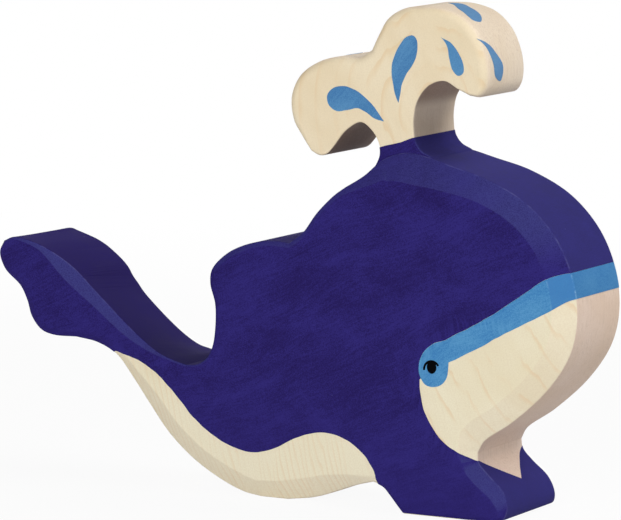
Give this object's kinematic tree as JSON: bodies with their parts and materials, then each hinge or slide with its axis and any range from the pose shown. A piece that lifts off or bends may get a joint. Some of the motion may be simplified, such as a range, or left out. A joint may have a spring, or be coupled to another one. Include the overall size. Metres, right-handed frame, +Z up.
{
  "type": "wooden whale figure",
  "caption": "Carved maple whale figure with a fountain on its head, bevelled edges, painted back, band and drops, bare belly and jaw; stands on its belly and fin.",
  "frame": {"origin": "on the table, below the middle of the whale's length and of its thickness", "axes": "+X towards the whale's nose, +Y towards its left face, +Z up"},
  "size_m": [0.1977, 0.0372, 0.1504],
  "materials": {
    "maple": "sanded, satin oil",
    "dark_blue_paint": "satin brushed paint",
    "light_blue_paint": "satin brushed paint",
    "black_paint": "gloss paint dot"
  },
  "bodies": {
    "root": {"carved_maple_blank": "maple", "dark_blue_coat": "dark_blue_paint", "light_blue_band": "light_blue_paint", "right_low_drop": "light_blue_paint", "right_high_drop": "light_blue_paint", "right_side_drop": "light_blue_paint", "left_low_drop": "light_blue_paint", "left_high_drop": "light_blue_paint", "left_side_drop": "light_blue_paint", "edge_drop": "light_blue_paint", "crest_drop": "light_blue_paint", "lobe_top_drop": "light_blue_paint", "right_eye": "black_paint", "left_eye": "black_paint"}
  },
  "joints": []
}
